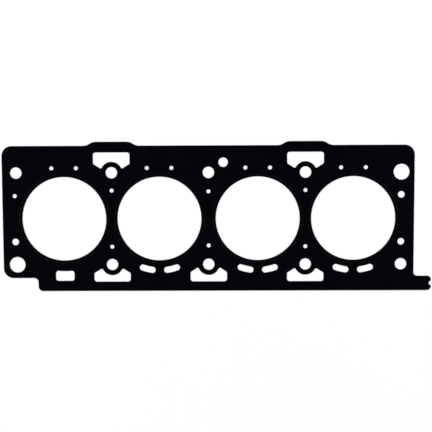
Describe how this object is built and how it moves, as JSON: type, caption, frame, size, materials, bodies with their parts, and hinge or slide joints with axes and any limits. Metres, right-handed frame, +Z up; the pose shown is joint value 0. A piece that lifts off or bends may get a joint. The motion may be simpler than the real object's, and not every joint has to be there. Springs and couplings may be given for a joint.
{
  "type": "cylinder head gasket",
  "caption": "Flat black-coated steel head gasket for an inline engine, with beaded cylinder openings, head bolt holes, oil windows, coolant slots and a notched thickness tab.",
  "frame": {"origin": "centre of the head bolt pattern, on the underside that lies on the block", "axes": "+X along the row of cylinders towards the notched tab, +Y across the row towards the edge with the two bulges, +Z up to the cylinder head"},
  "size_m": [0.4314, 0.1506, 0.0009],
  "materials": {
    "coated_steel": "thin black rubber coat on spring steel, satin to matte"
  },
  "bodies": {
    "root": {"gasket_sheet": "coated_steel"}
  },
  "joints": []
}
